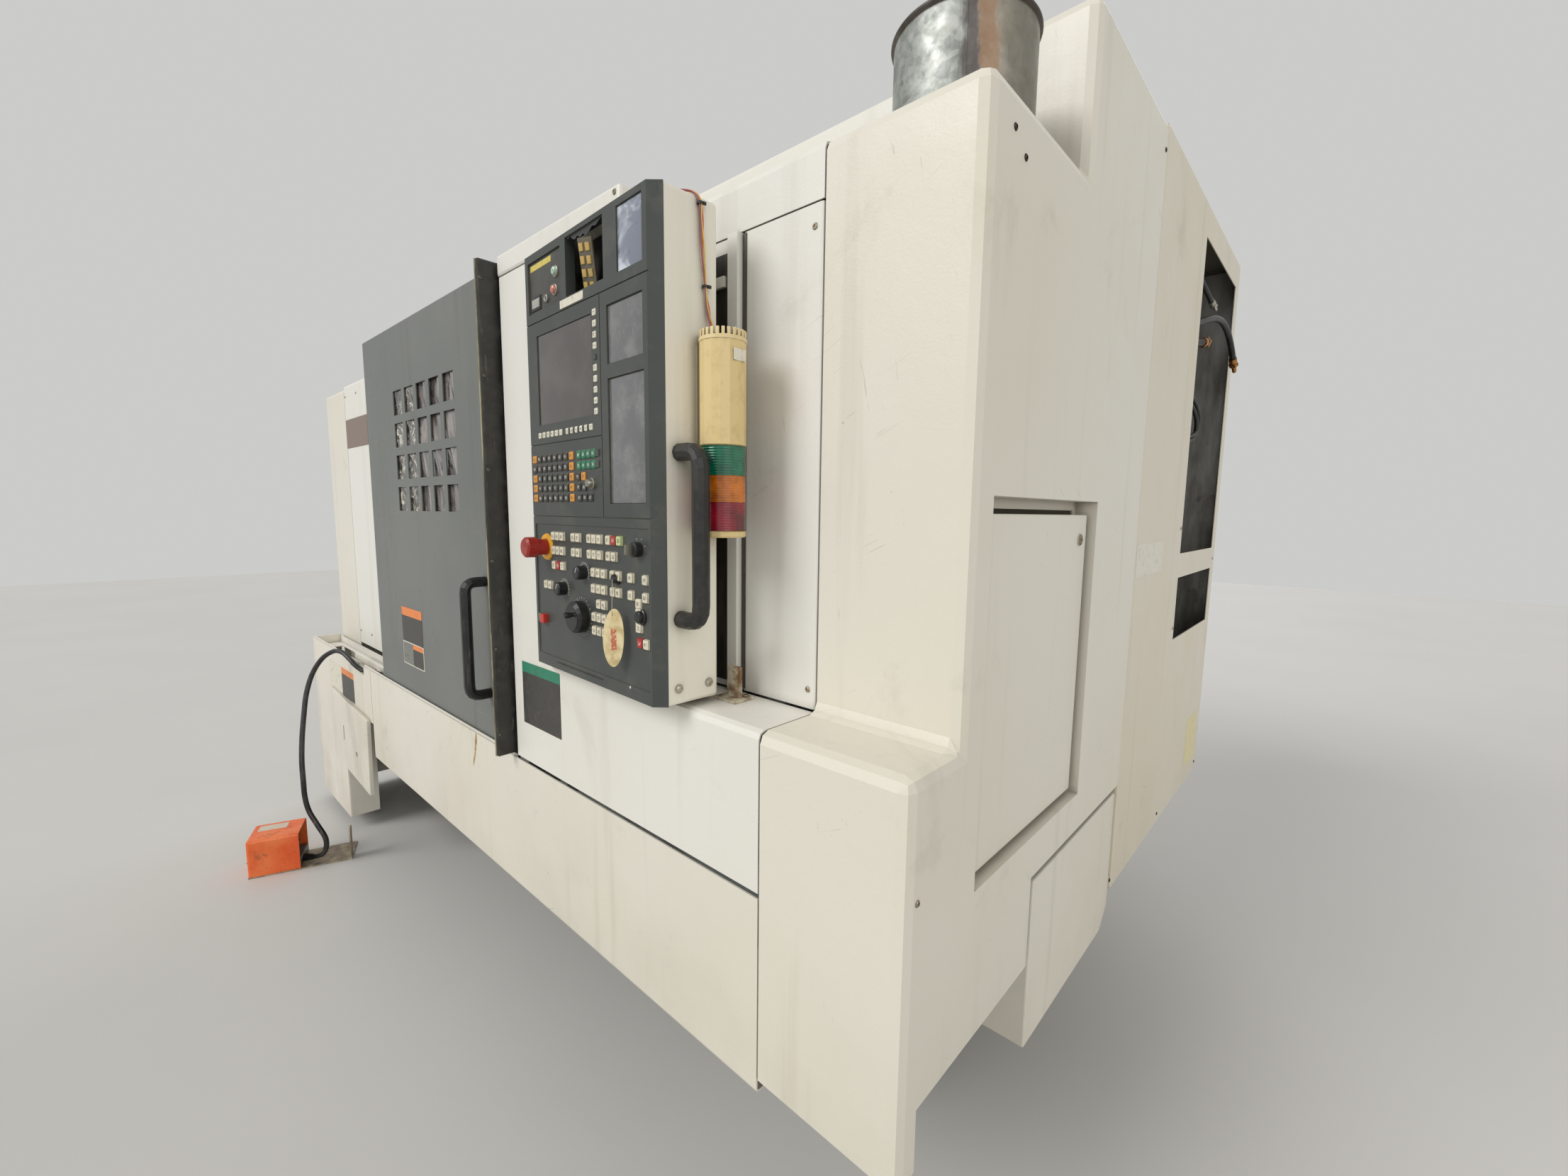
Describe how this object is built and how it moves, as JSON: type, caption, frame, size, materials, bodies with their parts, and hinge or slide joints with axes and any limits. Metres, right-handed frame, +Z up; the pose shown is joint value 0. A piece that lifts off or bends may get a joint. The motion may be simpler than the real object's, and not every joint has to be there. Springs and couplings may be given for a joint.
{
  "type": "cnc turning lathe",
  "caption": "Slant-bed turning lathe in a sheet-metal enclosure with a sliding door, swivelling operator panel, signal tower, exhaust duct, cabinet and cabled foot switch.",
  "frame": {"origin": "on the floor under the middle of the machine's box", "axes": "+X along the spindle towards the right end, +Y from the operator's side to the back, +Z up"},
  "size_m": [3.04, 2.292, 2.12],
  "materials": {
    "bed_casting": "grey machine paint",
    "cable_gland": "black nylon",
    "chamber_liner": "grey sheet, oily",
    "chuck_body": "ground steel",
    "chuck_jaw_1": "ground steel",
    "chuck_jaw_2": "ground steel",
    "chuck_jaw_3": "ground steel",
    "cross_slide": "grey machine paint",
    "deck_cover": "warm off-white paint, scuffed and stained",
    "door_edge_trim": "black",
    "door_gutter": "warm off-white paint, scuffed and stained",
    "door_handle": "black",
    "door_header": "warm off-white paint, scuffed and stained",
    "door_skin": "mid grey paint, scuffed",
    "door_window_pane": "hazy plastic",
    "electrical_cabinet": "warm off-white paint, scuffed and stained",
    "emergency_stop": "dull red",
    "enclosure_frame": "grey welded tube",
    "exhaust_duct": "galvanised sheet with rust",
    "feed_override_knob": "black",
    "foot_switch_base": "plain steel plate, worn",
    "foot_switch_body": "dark cast housing",
    "foot_switch_cable": "black rubber sheath",
    "foot_switch_guard": "orange gloss paint, chipped",
    "foot_treadle": "black paint",
    "front_mid_cover": "warm off-white paint, scuffed and stained",
    "headstock_casting": "grey machine paint",
    "headstock_cover": "warm off-white paint, scuffed and stained",
    "key_switch": "black",
    "ledge_bracket": "rusty steel",
    "left_access_plate": "warm off-white paint, scuffed and stained",
    "left_end_cover": "warm off-white paint, scuffed and stained",
    "left_front_cover": "warm off-white paint, scuffed and stained",
    "lower_front_panel": "warm off-white paint, scuffed and stained",
    "panel_bay_cover": "warm off-white paint, scuffed and stained",
    "panel_bezel": "charcoal plastic with ivory keys",
    "panel_box": "warm off-white paint, scuffed and stained",
    "panel_handle": "black",
    "pulse_handwheel": "black",
    "rear_cover": "warm off-white paint, scuffed and stained",
    "right_end_cover": "warm off-white paint, scuffed and stained",
    "saddle": "grey machine paint",
    "screen_glass": "dusty screen",
    "service_door": "warm off-white paint, scuffed and stained",
    "side_flap_cover": "warm off-white paint, scuffed and stained",
    "spindle": "ground steel",
    "spindle_motor": "grey machine paint",
    "spindle_override_knob": "black",
    "stop_ring": "yellow",
    "tailstock_body": "grey machine paint",
    "tailstock_quill": "ground steel",
    "tall_rear_cover": "warm off-white paint, scuffed and stained",
    "tower_body": "yellowed cream",
    "tower_end_cap": "yellowed cream",
    "tower_lens_amber": "amber lens",
    "tower_lens_green": "green lens",
    "tower_lens_red": "red lens",
    "turret_disc": "ground steel",
    "upper_front_cover": "warm off-white paint, scuffed and stained"
  },
  "bodies": {
    "machine": {"bed_casting": "bed_casting", "cable_gland": "cable_gland", "chamber_liner": "chamber_liner", "deck_cover": "deck_cover", "door_gutter": "door_gutter", "door_header": "door_header", "electrical_cabinet": "electrical_cabinet", "enclosure_frame": "enclosure_frame", "exhaust_duct": "exhaust_duct", "foot_switch_base": "foot_switch_base", "foot_switch_body": "foot_switch_body", "foot_switch_cable": "foot_switch_cable", "foot_switch_guard": "foot_switch_guard", "front_mid_cover": "front_mid_cover", "headstock_casting": "headstock_casting", "headstock_cover": "headstock_cover", "ledge_bracket": "ledge_bracket", "left_access_plate": "left_access_plate", "left_end_cover": "left_end_cover", "left_front_cover": "left_front_cover", "lower_front_panel": "lower_front_panel", "panel_bay_cover": "panel_bay_cover", "rear_cover": "rear_cover", "right_end_cover": "right_end_cover", "side_flap_cover": "side_flap_cover", "spindle_motor": "spindle_motor", "tall_rear_cover": "tall_rear_cover", "upper_front_cover": "upper_front_cover"},
    "door": {"door_skin": "door_skin", "door_window_pane": "door_window_pane", "door_edge_trim": "door_edge_trim", "door_handle": "door_handle"},
    "panel": {"panel_box": "panel_box", "panel_bezel": "panel_bezel", "screen_glass": "screen_glass", "panel_handle": "panel_handle", "stop_ring": "stop_ring", "tower_body": "tower_body", "tower_end_cap": "tower_end_cap", "tower_lens_green": "tower_lens_green", "tower_lens_amber": "tower_lens_amber", "tower_lens_red": "tower_lens_red"},
    "emergency_stop": {"emergency_stop": "emergency_stop"},
    "feed_override_knob": {"feed_override_knob": "feed_override_knob"},
    "spindle_override_knob": {"spindle_override_knob": "spindle_override_knob"},
    "pulse_handwheel": {"pulse_handwheel": "pulse_handwheel"},
    "key_switch": {"key_switch": "key_switch"},
    "service_door": {"service_door": "service_door"},
    "spindle": {"spindle": "spindle", "chuck_body": "chuck_body"},
    "chuck_jaw_1": {"chuck_jaw_1": "chuck_jaw_1"},
    "chuck_jaw_2": {"chuck_jaw_2": "chuck_jaw_2"},
    "chuck_jaw_3": {"chuck_jaw_3": "chuck_jaw_3"},
    "saddle": {"saddle": "saddle"},
    "cross_slide": {"cross_slide": "cross_slide"},
    "turret": {"turret_disc": "turret_disc"},
    "tailstock": {"tailstock_body": "tailstock_body"},
    "quill": {"tailstock_quill": "tailstock_quill"},
    "foot_treadle": {"foot_treadle": "foot_treadle"}
  },
  "joints": [
    {"name": "door_slide", "type": "slide", "parent": "machine", "child": "door", "axis": [-1, 0, 0], "range_m": [0, 0.85]},
    {"name": "panel_swing", "type": "hinge", "parent": "machine", "child": "panel", "pos_m": [0.67, -0.8, 1.009], "axis": [0, 0, -1], "range_deg": [-2.8, 90]},
    {"name": "emergency_stop_press", "type": "slide", "parent": "panel", "child": "emergency_stop", "axis": [0.0489, 0.9988, 0], "range_m": [0, 0.005]},
    {"name": "feed_override_turn", "type": "hinge", "parent": "panel", "child": "feed_override_knob", "pos_m": [0.86859, -0.83374, 1.206], "axis": [-0.0489, -0.9988, 0], "range_deg": [-120, 120]},
    {"name": "spindle_override_turn", "type": "hinge", "parent": "panel", "child": "spindle_override_knob", "pos_m": [0.79068, -0.82993, 1.17], "axis": [-0.0489, -0.9988, 0], "range_deg": [-120, 120]},
    {"name": "pulse_handwheel_turn", "type": "hinge", "parent": "panel", "child": "pulse_handwheel", "pos_m": [0.8566, -0.83316, 1.125], "axis": [-0.0489, -0.9988, 0], "continuous": true},
    {"name": "key_switch_turn", "type": "hinge", "parent": "panel", "child": "key_switch", "pos_m": [1.05037, -0.84263, 1.256], "axis": [-0.0489, -0.9988, 0], "range_deg": [-90, 0]},
    {"name": "service_door_swing", "type": "hinge", "parent": "machine", "child": "service_door", "pos_m": [1.506, -0.597, 1.05], "axis": [0, 0, -1], "range_deg": [0, 100]},
    {"name": "spindle_turn", "type": "hinge", "parent": "machine", "child": "spindle", "pos_m": [-0.6, -0.264, 1.05], "axis": [1, 0, 0], "continuous": true},
    {"name": "chuck_jaw_1_slide", "type": "slide", "parent": "spindle", "child": "chuck_jaw_1", "axis": [0, 0, 1], "range_m": [-0.006, 0.006]},
    {"name": "chuck_jaw_2_slide", "type": "slide", "parent": "spindle", "child": "chuck_jaw_2", "axis": [0, -0.866, -0.5], "range_m": [-0.006, 0.006]},
    {"name": "chuck_jaw_3_slide", "type": "slide", "parent": "spindle", "child": "chuck_jaw_3", "axis": [0, 0.866, -0.5], "range_m": [-0.006, 0.006]},
    {"name": "saddle_slide", "type": "slide", "parent": "machine", "child": "saddle", "axis": [-1, 0, 0], "range_m": [0, 0.35]},
    {"name": "cross_slide_travel", "type": "slide", "parent": "saddle", "child": "cross_slide", "axis": [0, -0.7071, -0.7071], "range_m": [0, 0.14]},
    {"name": "turret_index", "type": "hinge", "parent": "cross_slide", "child": "turret", "pos_m": [-0.03, 0.01884, 1.33284], "axis": [1, 0, 0], "continuous": true},
    {"name": "tailstock_slide", "type": "slide", "parent": "machine", "child": "tailstock", "axis": [-1, 0, 0], "range_m": [0, 0.12]},
    {"name": "quill_slide", "type": "slide", "parent": "tailstock", "child": "quill", "axis": [-1, 0, 0], "range_m": [0, 0.08]},
    {"name": "foot_treadle_press", "type": "hinge", "parent": "machine", "child": "foot_treadle", "pos_m": [-0.91363, -1.12351, 0.0349], "axis": [-0.9373, 0.3486, 0], "range_deg": [0, 12], "stiffness_Nm_per_rad": 3, "springref_deg": -20.05}
  ],
  "couplings": [
    {"joint": "chuck_jaw_2_slide", "follows": "chuck_jaw_1_slide", "ratio": 1},
    {"joint": "chuck_jaw_3_slide", "follows": "chuck_jaw_1_slide", "ratio": 1}
  ]
}
